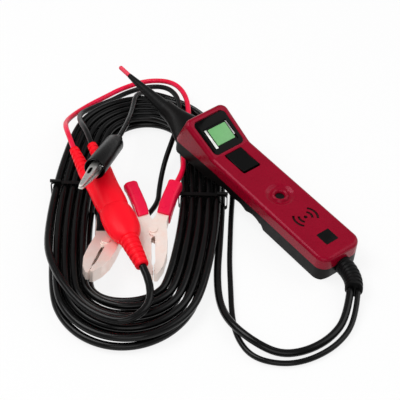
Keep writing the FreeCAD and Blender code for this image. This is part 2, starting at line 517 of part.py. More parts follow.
lower_jaw = jaw([(31, -4.6), (58, -4.6), (88, -1.6), (88, -0.2), (60, -0.2), (54, 2.2), (47, 2.2), (43, -2.6), (31, -2.6)], 4.2, 0.9)
upper_jaw = jaw([(33, 4.6), (58, 4.6), (88, 1.6), (88, 0.2), (60, 0.2), (54, -2.2), (46, -2.2), (43, 2.6), (33, 2.6)], 2.9, 0.8)
upper_jaw = upper_jaw.cut(rounded(box(64, 73, -1.2, 1.2, 2, 6), 1.1, upright))
for i in range(9):
    tooth = poly_face([(63 + 2.6 * i, -9, 0), (64.3 + 2.6 * i, -9, 0.95), (65.6 + 2.6 * i, -9, 0)]).extrude(V(0, 18, 0))
    upper_jaw = upper_jaw.cut(tooth)
    lower_jaw = lower_jaw.cut(tooth.mirror(V(0, 0, 0), V(0, 0, 1)))
boot = Part.makeLoft([oval(0, 3.2, 3.2), oval(14, 4.6, 4.5), oval(34, 7.6, 7.2), oval(57, 8.0, 7.9)], True)
boot = boot.cut(Part.makeLoft([oval(15, 3.4, 3.3), oval(34, 6.3, 6.2), oval(57.5, 7.0, 6.95)], True))
gator_pin = rod(1.1, (PIN_X, -4.9, 0), (PIN_X, 4.9, 0))
for name, shape in (("gator_lower_jaw", lower_jaw), ("gator_upper_jaw", upper_jaw), ("gator_boot", boot), ("gator_pin", gator_pin)):
    solids[name] = place(shape, GATOR_AT, GATOR_HEADING)
x = V(*GATOR_HEADING).normalize()
print("gator hinge", V(*GATOR_AT) + x * PIN_X, "axis", V(0, 0, 1).cross(x).normalize())

# Twist ties round the two long sides of the coil
band = rounded(box(-1.7, 1.7, -18.2, 18.2, 0.12, 13.7), 2.6, lambda e: e.BoundBox.XLength > 3)
band = band.cut(rounded(box(-2, 2, -17.6, 17.6, 0.72, 13.1), 2.0, lambda e: e.BoundBox.XLength > 3))
for name, along, side, knot in (("tie_left", 19.0, -1, 1), ("tie_right", 10.6, 1, -1)):
    tie = band.fuse(rod(1.3, (0, knot * 10.5, 14.6), (0, knot * 18.5, 14.6)))
    middle = V(COIL_X, COIL_Y, 0) + LONG_AXIS * along + WIDE_AXIS * (side * 48.0)
    solids[name] = place(tie, tuple(middle), tuple(LONG_AXIS))

# Write one file for each node
for name, shape in solids.items():
    if not shape.isValid():
        print("not valid:", name)
    shape.exportStep("parts/" + name + ".step")
print(len(solids), "nodes")
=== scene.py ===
"""Dress a hand-held probe tester with its wound lead, connector, battery clips and ground clip."""
import math

import bmesh
import bpy
from bpy.props import FloatProperty, FloatVectorProperty, PointerProperty
from mathutils import Matrix, Vector


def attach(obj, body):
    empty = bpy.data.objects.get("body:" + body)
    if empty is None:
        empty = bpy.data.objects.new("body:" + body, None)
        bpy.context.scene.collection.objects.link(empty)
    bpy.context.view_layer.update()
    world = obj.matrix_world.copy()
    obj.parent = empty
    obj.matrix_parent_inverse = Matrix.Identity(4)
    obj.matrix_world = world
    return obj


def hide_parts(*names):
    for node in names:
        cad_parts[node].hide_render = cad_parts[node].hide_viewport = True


bl_info = {
    "name": "Probe Tester Dressing",
    "version": (1, 0, 0),
    "blender": (4, 5, 0),
    "location": "View3D > Sidebar > Probe Tester",
    "description": "Finishes, cords and small parts for a hand-held probe tester",
    "category": "Object",
}

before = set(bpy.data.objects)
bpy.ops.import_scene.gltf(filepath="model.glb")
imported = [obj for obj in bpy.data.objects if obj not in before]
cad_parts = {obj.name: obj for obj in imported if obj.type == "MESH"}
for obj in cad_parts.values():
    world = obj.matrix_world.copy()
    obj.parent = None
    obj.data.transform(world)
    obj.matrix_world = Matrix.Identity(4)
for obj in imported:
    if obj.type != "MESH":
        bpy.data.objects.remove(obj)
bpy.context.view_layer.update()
MM = 0.001
UP = Vector((0.0, 0.0, 1.0))
# How the tester lies: tilted up towards its head, then shifted, in millimetres
LEAN = math.radians(7.0)
TESTER_SHIFT = Vector((0.0, -127.129, -0.305))


def seat(x, y, z):
    """A point of the tester's own level frame in millimetres, in the shared frame in metres."""
    c, s = math.cos(LEAN), math.sin(LEAN)
    return (Vector((x, y * c - z * s, y * s + z * c)) + TESTER_SHIFT) * MM


def colour_prop(name, value):
    return FloatVectorProperty(name=name, description=name + " colour", subtype="COLOR", size=4,
                               min=0.0, max=1.0, default=value + (1.0,))


def length_prop(name, value):
    return FloatProperty(name=name, description=name + " in metres", subtype="DISTANCE", unit="LENGTH",
                         min=0.0, default=value)


class TesterColours(bpy.types.PropertyGroup):
    """Colours of the tester's finishes."""
    shell: colour_prop("Upper shell", (0.252, 0.0004, 0.014))
    grip: colour_prop("Lower shell", (0.0035, 0.0030, 0.0030))
    rubber: colour_prop("Cord rubber", (0.0012, 0.0012, 0.0013))
    vinyl: colour_prop("Red vinyl", (1.0, 0.004, 0.017))
    sleeve: colour_prop("Clip sleeve", (0.80, 0.004, 0.050))
    lead: colour_prop("Red lead", (0.78, 0.004, 0.040))
    copper: colour_prop("Copper plate", (1.0, 0.87, 0.80))
    nickel: colour_prop("Nickel plate", (0.74, 0.73, 0.70))
    glass: colour_prop("Display", (0.155, 0.43, 0.155))


class TesterSizes(bpy.types.PropertyGroup):
    """Cord diameters and camera distance."""
    main_lead: length_prop("Main lead diameter", 0.0055)
    aux_lead: length_prop("Ground lead diameter", 0.004)
    battery_lead: length_prop("Battery lead diameter", 0.004)
    view_distance: length_prop("Camera distance", 1.1)


def colours():
    return bpy.context.scene.tester_colours


def sizes():
    return bpy.context.scene.tester_sizes


def deselect():
    if bpy.context.object and bpy.context.object.mode != "OBJECT":
        bpy.ops.object.mode_set(mode="OBJECT")
    bpy.ops.object.select_all(action="DESELECT")


def pick(piece):
    deselect()
    piece.select_set(True)
    bpy.context.view_layer.objects.active = piece


# Fixed colours: blacks, painted shade, plastics, metals with their tarnish, the silver of a painted
# reflection, and the floor's paper
JET = (0.0012, 0.0012, 0.0012, 1.0)
LENS_SMOKE = (0.003, 0.002, 0.002, 1.0)
# Painted shade: near black on the walls and floor of the hollow in each small jaw's back
HOLE_SHADE = (0.004, 0.004, 0.004, 1.0)
GROOVE_SHADOW = (0.022, 0.0004, 0.0016, 1.0)
SHELL_SHEEN = (1.0, 0.22, 0.40, 1.0)
TIP_PINK = (0.74, 0.05, 0.09, 1.0)
BOARD_GREEN = (0.02, 0.16, 0.06, 1.0)
# Painted reflection: silver, with its dimmer patches, for the strips beside the display window
REFLECTION_SILVER, REFLECTION_SILVER_DIM = (0.62, 0.62, 0.60, 1.0), (0.40, 0.40, 0.38, 1.0)
STEEL, STEEL_TARNISH = (0.56, 0.56, 0.57, 1.0), (0.38, 0.38, 0.38, 1.0)
BRASS, BRASS_TARNISH = (0.70, 0.52, 0.22, 1.0), (0.46, 0.32, 0.14, 1.0)
COPPER_TARNISH, NICKEL_TARNISH = (0.95, 0.70, 0.60, 1.0), (0.50, 0.48, 0.44, 1.0)
PAPER, PAPER_PALE, WHITE = (0.86, 0.86, 0.86, 1.0), (0.90, 0.90, 0.90, 1.0), (1.0, 1.0, 1.0, 1.0)
# Sockets of a Mix node that blends colours
MIX_FACTOR, MIX_FIRST, MIX_SECOND, MIX_RESULT = 0, 6, 7, 2


# Finishes
class NodeBench:
    """A material's node tree with short calls to add and join nodes."""

    def __init__(self, name):
        self.material = bpy.data.materials.new(name)
        self.material.use_nodes = True
        self.tree = self.material.node_tree
        self.shader = self.tree.nodes["Principled BSDF"]
        self.where = self.add("ShaderNodeTexCoord").outputs["Object"]

    def add(self, kind, **values):
        node = self.tree.nodes.new(kind)
        for key, value in values.items():
            setattr(node, key, value)
        return node

    def join(self, out, into):
        self.tree.links.new(out, into)

    def feed(self, out, socket):
        self.join(out, self.shader.inputs[socket])

    def noise(self, scale, detail=4.0, rough=0.55, vector=None):
        node = self.add("ShaderNodeTexNoise")
        for key, value in (("Scale", scale), ("Detail", detail), ("Roughness", rough)):
            node.inputs[key].default_value = value
        self.join(vector or self.where, node.inputs["Vector"])
        return node.outputs["Fac"]

    def spread(self, fac, low, high, start=0.3, end=0.7):
        node = self.add("ShaderNodeMapRange")
        for key, value in (("From Min", start), ("From Max", end), ("To Min", low), ("To Max", high)):
            node.inputs[key].default_value = value
        self.join(fac, node.inputs["Value"])
        return node.outputs["Result"]

    def blend(self, fac, first, second):
        node = self.add("ShaderNodeMix", data_type="RGBA")
        for socket, value in ((node.inputs[MIX_FIRST], first), (node.inputs[MIX_SECOND], second)):
            if isinstance(value, bpy.types.NodeSocket):
                self.join(value, socket)
            else:
                socket.default_value = value
        self.join(fac, node.inputs[MIX_FACTOR])
        return node.outputs[MIX_RESULT]

    def relief(self, height, strength, distance, under=None):
        node = self.add("ShaderNodeBump")
        node.inputs["Strength"].default_value = strength
        node.inputs["Distance"].default_value = distance
        self.join(height, node.inputs["Height"])
        if under is not None:
            self.join(under, node.inputs["Normal"])
        return node.outputs["Normal"]

    def set(self, **values):
        for key, value in values.items():
            self.shader.inputs[key.replace("_", " ")].default_value = value


def shade(colour, factor):
    return tuple(min(1.0, c * factor) for c in tuple(colour)[:3]) + (1.0,)


def moulded(name, colour, rough, grain, grain_depth, mottling=0.10, lacquer=0.0, shine=0.16):
    """Moulded plastic or rubber: fine grain, faint mottling and patches polished by handling."""
    bench = NodeBench(name)
    patches = bench.noise(scale=60.0, detail=5.0)
    specks = bench.noise(scale=grain, detail=2.0)
    base = bench.blend(bench.spread(patches, 0.0, 1.0),
                       shade(colour, 1.0 - mottling), shade(colour, 1.0 + mottling))
    pale_specks = bench.spread(specks, 0.0, 0.35, start=0.55, end=0.75)
    bench.feed(bench.blend(pale_specks, base, shade(colour, 1.35)), "Base Color")
    polish = bench.noise(scale=240.0, detail=3.0)
    bench.feed(bench.spread(polish, rough - 0.05, rough + 0.07), "Roughness")
    fine = bench.relief(specks, strength=grain_depth, distance=0.0002)
    bench.feed(bench.relief(patches, strength=0.04, distance=0.0006, under=fine), "Normal")
    bench.set(Coat_Weight=lacquer, Coat_Roughness=0.12, Specular_IOR_Level=shine)
    return bench.material


def jet_gloss(name):
    """Glossy black of the display's surround."""
    return moulded(name, JET, rough=0.12, grain=2000.0, grain_depth=0.01, mottling=0.05, shine=0.08)


def plated(name, colour, rough, tarnish, metal=1.0):
    """Stamped and plated sheet metal: drawn streaks and a faint uneven tarnish. It also silvers the
    strips beside the display window, a painted reflection with dimmer patches.
    """
    bench = NodeBench(name)
    mapping = bench.add("ShaderNodeMapping")
    mapping.inputs["Scale"].default_value = (1.0, 0.25, 1.0)
    bench.join(bench.where, mapping.inputs["Vector"])
    streaks = bench.noise(scale=900.0, detail=3.0, rough=0.6, vector=mapping.outputs["Vector"])
    patches = bench.noise(scale=110.0, detail=6.0, rough=0.62)
    stain = bench.spread(patches, 0.0, 0.7, start=0.42, end=0.75)
    bench.feed(bench.blend(stain, colour, tarnish), "Base Color")
    bench.feed(bench.spread(patches, rough - 0.05, rough + 0.10), "Roughness")
    bench.feed(bench.relief(streaks, strength=0.025, distance=0.0001), "Normal")
    bench.set(Metallic=metal)
    return bench.material


def cord_rubber(name, colour, rough):
    """Extruded cord jacket: a fine uneven skin, dust and soft sheen."""
    bench = NodeBench(name)
    dust = bench.noise(scale=90.0, detail=6.0, rough=0.65)
    dusty = bench.spread(dust, 0.0, 1.0, start=0.45, end=0.75)
    bench.feed(bench.blend(dusty, colour, shade(colour, 2.2)), "Base Color")
    bench.feed(bench.spread(dust, rough - 0.06, rough + 0.10), "Roughness")
    skin = bench.noise(scale=700.0, detail=2.0)
    bench.feed(bench.relief(skin, strength=0.10, distance=0.0002), "Normal")
    bench.set(Coat_Weight=0.03, Coat_Roughness=0.14, Specular_IOR_Level=0.20)
    return bench.material


def display_crystal():
    """Green-grey liquid crystal: fine dot rows and a soft unevenness."""
    bench = NodeBench("display_crystal")
    glass = colours().glass
    cells = bench.add("ShaderNodeTexBrick")
    for key, value in (("Scale", 1400.0), ("Mortar Size", 0.08), ("Color1", glass),
                       ("Color2", shade(glass, 1.06)), ("Mortar", shade(glass, 0.86))):
        cells.inputs[key].default_value = value
    bench.join(bench.where, cells.inputs["Vector"])
    haze = bench.noise(scale=80.0, detail=3.0)
    bench.feed(bench.blend(bench.spread(haze, 0.0, 0.35), cells.outputs["Color"], shade(glass, 1.35)),
               "Base Color")
    bench.feed(bench.spread(haze, 0.22, 0.34), "Roughness")
    return bench.material


# Modelling helpers
def smooth(piece, degrees=35.0):
    pick(piece)
    bpy.ops.object.shade_smooth_by_angle(angle=math.radians(degrees))


def open_mesh(piece):
    """Go into edit mode on a piece, with all of its mesh selected."""
    pick(piece)
    bpy.ops.object.mode_set(mode="EDIT")
    bpy.ops.mesh.select_all(action="SELECT")


def clear_selection(piece, kind):
    """Select none of a piece's edges or faces, so that some can be selected in code."""
    pick(piece)
    bpy.ops.object.mode_set(mode="EDIT")
    bpy.ops.mesh.select_mode(type=kind)
    bpy.ops.mesh.select_all(action="DESELECT")
    bpy.ops.object.mode_set(mode="OBJECT")


def fix_order(piece):
    """Sort a mesh's edges and faces by their vertices, because extruding leaves their order to chance."""
    shape = bmesh.from_edit_mesh(piece.data)
    shape.verts.index_update()
    for parts in (shape.edges, shape.faces):
        ends = {part: [vertex.index for vertex in part.verts] for part in parts}
        parts.sort(key=lambda part: min(ends[part]) * len(shape.verts) + max(ends[part]))
    bmesh.update_edit_mesh(piece.data)


def drawn(name, stations, sides=32, square=2.0):
    """A closed form drawn along z through stations of height, two half widths and a sideways shift."""
    deselect()
    bpy.ops.mesh.primitive_circle_add(vertices=sides, radius=1.0, fill_type="NGON", location=(0, 0, 0))
    piece = bpy.context.object
    piece.name = name
    for vertex in piece.data.vertices:
        vertex.co.x = math.copysign(abs(vertex.co.x) ** (2.0 / square), vertex.co.x)
        vertex.co.y = math.copysign(abs(vertex.co.y) ** (2.0 / square), vertex.co.y)
    open_mesh(piece)
    height, wide, deep, shift = stations[0]
    bpy.ops.transform.resize(value=(wide * MM, deep * MM, 1.0), center_override=(0, 0, 0))
    bpy.ops.transform.translate(value=(shift * MM, 0, height * MM))
    for next_height, next_wide, next_deep, next_shift in stations[1:]:
        step = ((next_shift - shift) * MM, 0.0, (next_height - height) * MM)
        bpy.ops.mesh.extrude_region_move(TRANSFORM_OT_translate={"value": step})
        bpy.ops.transform.resize(value=(next_wide / wide, next_deep / deep, 1.0),
                                 center_override=(next_shift * MM, 0, next_height * MM))
        height, wide, deep, shift = next_height, next_wide, next_deep, next_shift
    bpy.ops.mesh.select_all(action="SELECT")
    bpy.ops.mesh.normals_make_consistent(inside=False)
    fix_order(piece)
    bpy.ops.object.mode_set(mode="OBJECT")
    return piece


def turned(name, profile, sides=32):
    """A round form drawn along z through a profile of height and radius."""
    return drawn(name, [(height, radius, radius, 0.0) for height, radius in profile], sides)


def settle(piece, matrix):
    """Move a piece, and keep its new place in its mesh."""
    piece.matrix_world = matrix
    pick(piece)
    bpy.ops.object.transform_apply(location=True, rotation=True, scale=True)


def put(piece, origin, along, across):
    """Lay a piece drawn along z at a point in millimetres, with its x side turned across."""
    along, across = along.normalized(), across.normalized()
    turn = Matrix((across, along.cross(across), along)).transposed().to_4x4()
    settle(piece, Matrix.Translation(Vector(origin) * MM) @ turn)


def carve(piece, tool):
    """Cut a tool out of a piece, and throw the tool away."""
    pick(piece)
    cut = piece.modifiers.new("carve", "BOOLEAN")
    cut.operation = "DIFFERENCE"
    cut.solver = "EXACT"
    cut.object = tool
    cut.material_mode = "TRANSFER"
    bpy.ops.object.modifier_apply(modifier=cut.name)
    bpy.data.objects.remove(tool, do_unlink=True)


def coat(piece, material):
    piece.data.materials.clear()
    piece.data.materials.append(material)
    return piece


def dress(piece, body, material, slot, *nodes):
    """Coat a piece that has no finish yet, and name its body and the solids it replaces; its slot is not
    used.
    """
    if material:
        coat(piece, material)
    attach(piece, body)
    if nodes:
        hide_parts(*nodes)


# Battery clips: rivet, heading towards the jaws, and how far each handle opens from that line
CLIP_PIVOTS = {"red": (-87.0, -24.0, 14.8), "black": (-121.0, -12.5, 14.0)}
CLIP_HEADINGS = {"red": Vector((-0.616, -0.788, -0.16)), "black": Vector((-0.8, -0.6, 0.18))}
HALF_SPREAD = math.radians(20.0)
# Soft sleeves on the handles: distance from the rivet, outer and inner reach, swelling
SLEEVE_REACH = ((15.4, 6.2, -2.7, 0.7), (15.9, 6.7, -2.95, 0.75), (20.0, 6.4, -3.8, 0.7),
                (26.0, 5.8, -4.6, 0.6), (36.0, 5.2, -4.9, 0.3), (44.0, 5.2, -5.0, 0.1),
                (46.6, 5.6, -5.3, 0.0), (47.8, 5.5, -5.2, 0.0), (48.4, 4.7, -4.4, -0.4))
# Share of the swelling that a sleeve has room for among its neighbours, and how square it is
SLEEVE_FIT = {"red_fixed": (1.0, 4.2), "red_moving": (0.0, 3.2),
              "black_fixed": (0.0, 2.7), "black_moving": (0.0, 2.7)}
# Each half's side of the clip, and half of its sleeve's thickness
SLEEVE_HALVES = (("fixed", 1, 5.3), ("moving", -1, 4.3))
SLEEVE_SIDES = 48


def sleeve_stations(thick, fit):
    """Stations of a sleeve with its share of the swelling."""
    stations = []
    for distance, outer, inner, swell in SLEEVE_REACH:
        outer += fit * swell
        stations.append((distance, (outer - inner) / 2, thick + fit * swell, (outer + inner) / 2))
    return stations


class TESTER_OT_clip_sleeves(bpy.types.Operator):
    """Pull the soft sleeves over the battery clips' handles"""
    bl_idname = "tester.clip_sleeves"
    bl_label = "Clip Sleeves"

    def execute(self, context):
        finishes = {"red": moulded("red_sleeve_vinyl", colours().sleeve, rough=0.30, grain=900.0,
                                   grain_depth=0.05, mottling=0.06, lacquer=0.06),
                    "black": moulded("black_sleeve_vinyl", colours().rubber, rough=0.34, grain=900.0,
                                     grain_depth=0.06)}
        for colour, heading in CLIP_HEADINGS.items():
            ahead = heading.normalized()
            left = UP.cross(ahead).normalized()
            bodies = {"fixed": "tester", "moving": colour + "_jaw"}
            for half, side, thick in SLEEVE_HALVES:
                fit, square = SLEEVE_FIT[colour + "_" + half]
                stations = sleeve_stations(thick, fit)
                sleeve = drawn(colour + "_sleeve_" + half, stations, SLEEVE_SIDES, square)
                handle = ahead * -math.cos(HALF_SPREAD) + left * (side * math.sin(HALF_SPREAD))
                outwards = left * (side * math.cos(HALF_SPREAD)) + ahead * math.sin(HALF_SPREAD)
                put(sleeve, CLIP_PIVOTS[colour], handle, outwards)
                smooth(sleeve, degrees=40.0)
                dress(sleeve, bodies[half], finishes[colour], "grip_" + colour,
                      colour + "_clip_grip_" + half)
        return {"FINISHED"}


# Boot of the small clip: distance from the lead and radius, then the same for its open mouth
BOOT_AT = (-56.0, 57.0, 36.0)
BOOT_HEADING = Vector((-0.79, -0.56, 0.25))
BOOT_SKIN = ((0.0, 2.9), (0.6, 3.4), (5.0, 3.6), (6.4, 4.4), (8.4, 6.5), (10.6, 7.2), (38.0, 7.6),
             (55.6, 7.95), (56.6, 7.8), (57.0, 7.4), (56.4, 7.0), (40.0, 6.7), (30.0, 6.1))


class TESTER_OT_clip_boot(bpy.types.Operator):
    """Model the soft boot of the small ground clip"""
    bl_idname = "tester.clip_boot"
    bl_label = "Clip Boot"

    def execute(self, context):
        boot = turned("ground_clip_boot", BOOT_SKIN)
        put(boot, BOOT_AT, BOOT_HEADING, UP.cross(BOOT_HEADING))
        smooth(boot, degrees=40.0)
        vinyl = moulded("boot_vinyl", colours().rubber, rough=0.30, grain=900.0, grain_depth=0.06)
        dress(boot, "tester", vinyl, "cord_black", "gator_boot")
        return {"FINISHED"}


# Display face, in the tester's own level frame, millimetres
FACE_FOOT_Y, FACE_FOOT_Z, FACE_HEAD_Y, FACE_HEAD_Z = 123.0, 21.5, 157.0, 35.0
FACE_TILT = math.atan2(FACE_HEAD_Z - FACE_FOOT_Z, FACE_HEAD_Y - FACE_FOOT_Y)
WINDOW_SHIFT = 1.3
# Bright strips beside the window, silvered as a painted reflection on its flanks: side, place across the
# face, half width, foot and head
STRIPS = {"strip_left": (-1, -9.0, 1.35, (5.9, 22.6)), "strip_right": (1, 10.4, 0.55, (10.0, 22.6))}
# Their head's share of the width, their rise, and their turn towards the window in radians
STRIP_TAPER, STRIP_RISE, STRIP_TURN = 0.8, 0.12, -0.16
# Places along the grip's top in the same frame, and the heights of that top and of the rocker's foot
SOUND_Y, LED_Y, LABEL_Y, PLATE_Y = 40.5, 68.1, 15.5, 17.5
GRIP_TOP_Z, ROCKER_FOOT_Z = 21.5, 18.5
# Openings of the solid shell that its new skin closes: middle, half size, lowest depth
SHELL_OPENINGS = ((SOUND_Y, 11.6, -7.0), (LED_Y, 9.9, -6.0), (LABEL_Y, 7.4, -1.2))
# Depths that bound the flat faces of the shell's outer and inner skin, and how flat a flat face is
OUTER_SKIN, INNER_SKIN, FLAT_WITHIN = -0.02, -1.3, 0.01
# Distance in metres within which a solid's loose triangles merge, and the bend below which faces join
MERGE_WITHIN, JOIN_BELOW = 0.000002, math.radians(0.4)
# Dish round the indicator with a raised lip, and the indicator's lens: height and radius
DISH = ((-6.0, 3.4), (-2.1, 3.4), (-1.6, 3.55), (-0.8, 3.95), (-0.25, 4.6), (-0.1, 5.2), (-0.4, 5.9),
        (-1.2, 6.5), (-1.75, 7.0), (-1.75, 7.6), (-1.3, 8.6), (-0.6, 9.7), (-0.15, 10.6), (0.05, 11.3),
        (3.0, 11.3))
DISH_SIDES = 64
INDICATOR_LENS = ((-6.0, 2.4), (-3.0, 2.5), (-2.9, 3.3), (-2.4, 3.25), (-2.2, 2.8), (-2.4, 1.6))
# Sound slots: radii of the arcs, angles along one, its half width and rise, and the middle dot
GROOVE_RADII = (4.9, 8.9)
GROOVE_TURNS = [math.radians(-42.0 + 7.0 * i) for i in range(13)]
GROOVE_HALF, GROOVE_RISE = 0.95, -0.2
SOUND_DOT, SOUND_DOT_SIDES = ((-1.2, 1.0), (0.6, 1.6)), 24
# Share of its height over its foot that the rocker keeps
ROCKER_KEEPS = 0.76
# Steps of a plate's rounded corners and softened edges, and how steep an upright edge is
CORNER_STEPS, EDGE_STEPS, UPRIGHT = 8, 3, 0.9


def tester_matrix(tilt=0.0, y=0.0, z=0.0):
    """Turn a piece drawn flat at the origin onto the tester's top, or onto its display face."""
    return Matrix.Translation(seat(0.0, y, z)) @ Matrix.Rotation(LEAN + tilt, 4, "X")


def on_top(piece, y, rise=0.0):
    """Set a piece drawn flat at the origin onto the grip's top."""
    settle(piece, tester_matrix(0.0, y, GRIP_TOP_Z + rise))
    return piece


def slab(name, halves, span, levels, corner, edge):
    """A flat plate whose half width may change from foot to head, with corners and top edges rounded."""
    foot_half, head_half = halves
    foot, head = span
    low, high = levels
    middle = (foot + head) / 2 * MM
    deselect()
    bpy.ops.mesh.primitive_cube_add(size=1.0, location=(0, middle, (low + high) / 2 * MM))
    plate = bpy.context.object
    plate.name = name
    plate.scale = (2 * foot_half * MM, (head - foot) * MM, (high - low) * MM)
    bpy.ops.object.transform_apply(location=True, rotation=True, scale=True)
    for vertex in plate.data.vertices:
        if vertex.co.y > middle:
            vertex.co.x *= head_half / foot_half
    for amount, steps, upright_only in ((corner, CORNER_STEPS, True), (edge, EDGE_STEPS, False)):
        clear_selection(plate, "EDGE")
        for line in plate.data.edges:
            first, second = (plate.data.vertices[i].co for i in line.vertices)
            run = second - first
            top = min(first.z, second.z) > (high - FLAT_WITHIN) * MM
            line.select = abs(run.z) > UPRIGHT * run.length if upright_only else top
        bpy.ops.object.mode_set(mode="EDIT")
        bpy.ops.mesh.bevel(offset=amount * MM, segments=steps, affect="EDGES")
        bpy.ops.object.mode_set(mode="OBJECT")
    return plate


def merged_copy(node, name):
    """A new piece with a solid's shape, its loose triangles merged into one skin."""
    deselect()
    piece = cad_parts[node].copy()
    piece.data = piece.data.copy()
    piece.name = name
    for key in [key for key in piece.keys() if key.startswith("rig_")]:
        del piece[key]
    piece.parent = None
    bpy.context.collection.objects.link(piece)
    open_mesh(piece)
    bpy.ops.mesh.remove_doubles(threshold=MERGE_WITHIN)
    bpy.ops.object.mode_set(mode="OBJECT")
    return piece


def close_openings(skin):
    """Close the plain openings in the shell's top, so that the finer ones can be cut."""
    level = tester_matrix(0.0, 0.0, GRIP_TOP_Z).inverted()
    clear_selection(skin, "FACE")
    for face in skin.data.polygons:
        corners = [(level @ skin.data.vertices[i].co) / MM for i in face.vertices]
        lies_flat = max(c.z for c in corners) - min(c.z for c in corners) < FLAT_WITHIN
        on_skin = lies_flat and not INNER_SKIN <= corners[0].z <= OUTER_SKIN
        for middle, reach, depth in SHELL_OPENINGS:
            inside = all(abs(c.x) < reach and abs(c.y - middle) < reach and c.z > depth for c in corners)
            if inside and not on_skin:
                face.select = True
    bpy.ops.object.mode_set(mode="EDIT")
    bpy.ops.mesh.delete(type="FACE")
    bpy.ops.mesh.select_mode(type="EDGE")
    bpy.ops.mesh.select_all(action="DESELECT")
    bpy.ops.mesh.select_non_manifold()
    bpy.ops.mesh.fill_holes(sides=0)
    bpy.ops.mesh.select_all(action="SELECT")
    bpy.ops.mesh.normals_make_consistent(inside=False)
    bpy.ops.object.mode_set(mode="OBJECT")


def tube(name, kind, places, radius, resolution):
    """A round tube as a curve of one spline with its points at places in metres."""
    curve = bpy.data.curves.new(name, "CURVE")
    curve.dimensions = "3D"
    line = curve.splines.new(kind)
    line.points.add(len(places) - 1)
    for point, place in zip(line.points, places):
        point.co = tuple(place) + (1.0,)
    curve.bevel_depth = radius
    curve.bevel_resolution = resolution
    curve.use_fill_caps = True
    piece = bpy.data.objects.new(name, curve)
    bpy.context.collection.objects.link(piece)
    return piece


def sound_groove(radius, side):
    """A round-bottomed arc cutter that opens across the tester, drawn about the sound slots' middle."""
    arc = [(side * radius * math.cos(turn) * MM, radius * math.sin(turn) * MM, 0.0)
           for turn in GROOVE_TURNS]
    pick(tube("groove", "POLY", arc, GROOVE_HALF * MM, resolution=3))
    bpy.ops.object.convert(target="MESH")
    return on_top(bpy.context.object, SOUND_Y, GROOVE_RISE)


class TESTER_OT_upper_shell(bpy.types.Operator):
    """Cut the indicator's dish and the sound slots into a skin of the upper shell"""
    bl_idname = "tester.upper_shell"
    bl_label = "Upper Shell"

    def execute(self, context):
        skin = merged_copy("upper_housing", "upper_shell")
        close_openings(skin)
        shell = moulded("crimson_shell", colours().shell, rough=0.28, grain=2400.0, grain_depth=0.03,
                        mottling=0.06, lacquer=0.10, shine=0.26)
        shell.node_tree.nodes["Principled BSDF"].inputs["Specular Tint"].default_value = SHELL_SHEEN
        shadow = moulded("groove_shadow", GROOVE_SHADOW, rough=0.6, grain=2400.0, grain_depth=0.02)
        coat(skin, shell)
        carve(skin, on_top(coat(turned("dish", DISH, DISH_SIDES), shell), LED_Y))
        for radius in GROOVE_RADII:
            for side in (-1, 1):
                carve(skin, coat(sound_groove(radius, side), shadow))
        carve(skin, on_top(coat(turned("sound_dot", SOUND_DOT, SOUND_DOT_SIDES), shadow), SOUND_Y))
        open_mesh(skin)
        bpy.ops.mesh.dissolve_limited(angle_limit=JOIN_BELOW)
        bpy.ops.object.mode_set(mode="OBJECT")
        smooth(skin, degrees=30.0)
        even = skin.modifiers.new("even_shading", "WEIGHTED_NORMAL")
        even.keep_sharp = True
        bpy.ops.object.modifier_apply(modifier=even.name)
        dress(skin, "tester", None, "crimson_shell", "upper_housing")
        return {"FINISHED"}


class TESTER_OT_indicator(bpy.types.Operator):
    """Model the indicator's dark lens"""
    bl_idname = "tester.indicator"
    bl_label = "Indicator"

    def execute(self, context):
        lens = on_top(turned("indicator_eye", INDICATOR_LENS), LED_Y)
        smooth(lens, degrees=40.0)
        smoke = moulded("lens_smoke", LENS_SMOKE, rough=0.22, grain=2000.0, grain_depth=0.01,
                        mottling=0.05, shine=0.2)
        dress(lens, "tester", smoke, "lens_dark", "indicator_lens")
        return {"FINISHED"}


class TESTER_OT_rocker(bpy.types.Operator):
    """Model the rocker as a lower form of the solid one"""
    bl_idname = "tester.rocker"
    bl_label = "Rocker"

    def execute(self, context):
        button = merged_copy("rocker_cap", "rocker_button")
        level = tester_matrix(0.0, 0.0, ROCKER_FOOT_Z)
        for vertex in button.data.vertices:
            place = level.inverted() @ vertex.co
            if place.z > 0.0:
                vertex.co = level @ Vector((place.x, place.y, place.z * ROCKER_KEEPS))
        smooth(button, degrees=30.0)
        matt = moulded("rocker_black", JET, rough=0.5, grain=1500.0, grain_depth=0.10, shine=0.10)
        dress(button, "rocker", matt, "display_black", "rocker_cap")
        return {"FINISHED"}


class TESTER_OT_square_plate(bpy.types.Operator):
    """Model the square plate on the grip's top"""
    bl_idname = "tester.square_plate"
    bl_label = "Square Plate"

    def execute(self, context):
        plate = slab("square_plate", halves=(5.6, 5.6), span=(-5.6, 5.6), levels=(-0.6, 0.22),
                     corner=0.5, edge=0.14)
        smooth(on_top(plate, PLATE_Y), degrees=30.0)
        finish = moulded("plate_black", JET, rough=0.34, grain=1600.0, grain_depth=0.08, shine=0.14)
        dress(plate, "tester", finish, "display_black", "label_plate")
        return {"FINISHED"}


